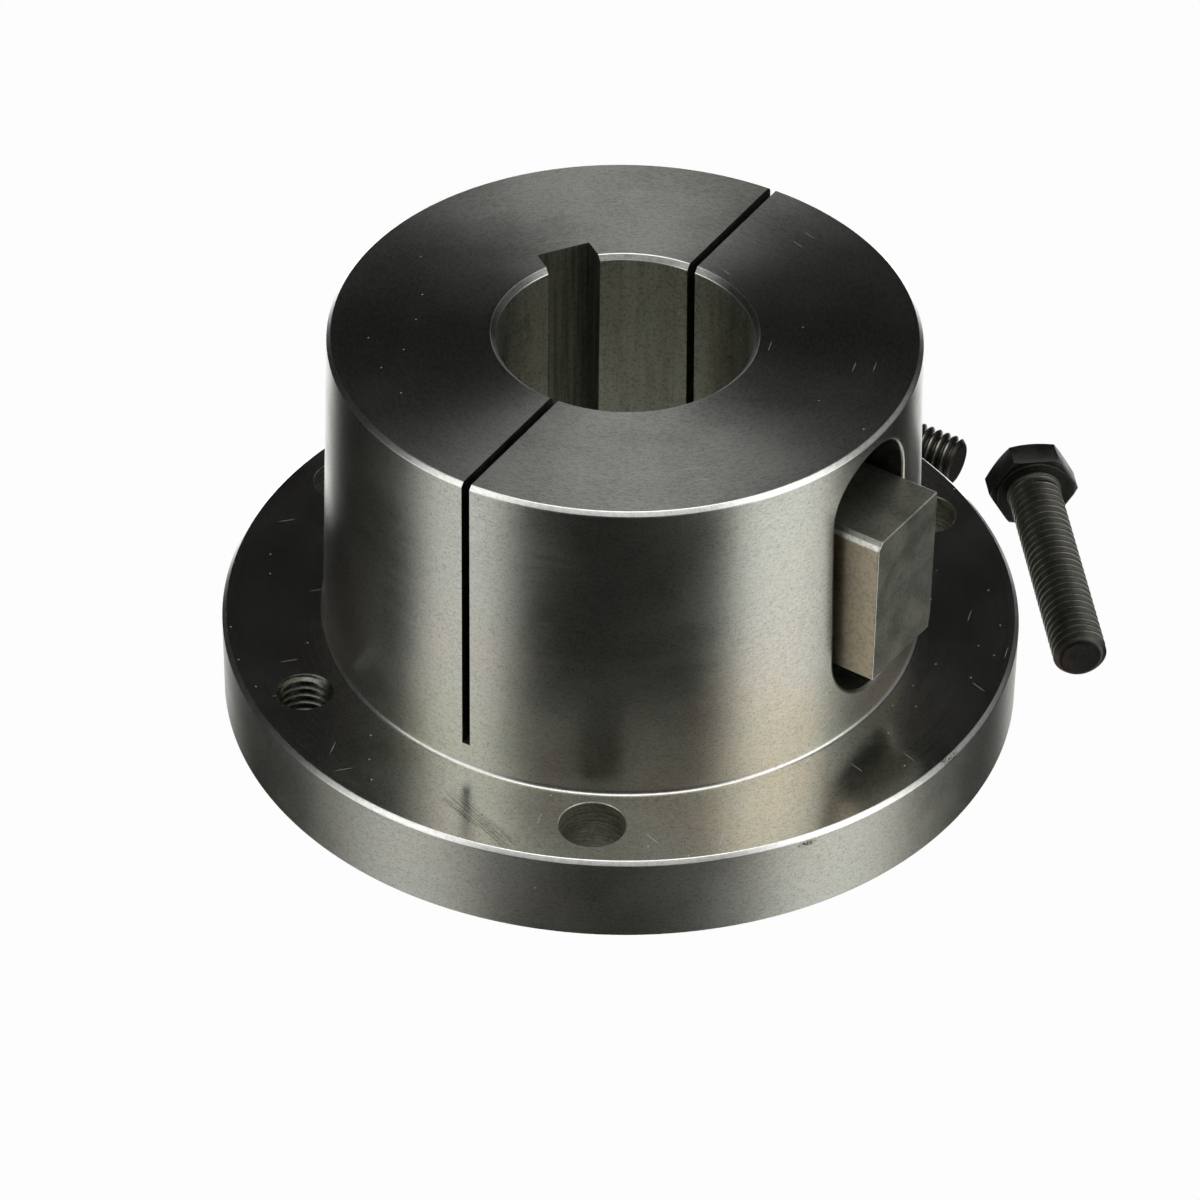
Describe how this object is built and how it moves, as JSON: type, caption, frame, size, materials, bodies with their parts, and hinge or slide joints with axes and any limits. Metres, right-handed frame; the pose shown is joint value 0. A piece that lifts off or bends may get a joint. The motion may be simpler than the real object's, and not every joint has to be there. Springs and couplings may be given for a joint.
{
  "type": "flanged split taper bushing",
  "caption": "Flanged bushing with a split tapered barrel, keyed bore, external barrel key and loose hex cap screws that draw it into a hub.",
  "frame": {"origin": "centre of the bore at the flange's outer face, which is the bottom face the part stands on", "axes": "+Z along the bore towards the small end of the barrel; +X points from the bore axis to the external barrel key"},
  "size_m": [0.1446, 0.1626, 0.073],
  "materials": {
    "machined_steel": "dark grey turned steel, fine tool marks, oiled, bright worn edges",
    "key_steel": "ground square bar, warm grey, satin, sawn ends",
    "black_oxide": "black oxide with an oily satin sheen and a brown cast"
  },
  "bodies": {
    "bushing": {"bushing_body": "machined_steel"},
    "key": {"barrel_key": "key_steel"},
    "screw_1": {"cap_screw_1": "black_oxide"},
    "screw_2": {"cap_screw_2": "black_oxide"},
    "screw_3": {"cap_screw_3": "black_oxide"}
  },
  "joints": [
    {"name": "key_pull", "type": "slide", "parent": "bushing", "child": "key", "axis": [1, 0, 0], "range_m": [0, 0.035]},
    {"name": "screw_1_lift", "type": "slide", "parent": "bushing", "child": "screw_1", "axis": [0, 0, 1], "range_m": [0, 0.08]},
    {"name": "screw_2_lift", "type": "slide", "parent": "bushing", "child": "screw_2", "axis": [0, 0, 1], "range_m": [0, 0.08]},
    {"name": "screw_3_lift", "type": "slide", "parent": "bushing", "child": "screw_3", "axis": [0, 0, 1], "range_m": [0, 0.08]}
  ]
}
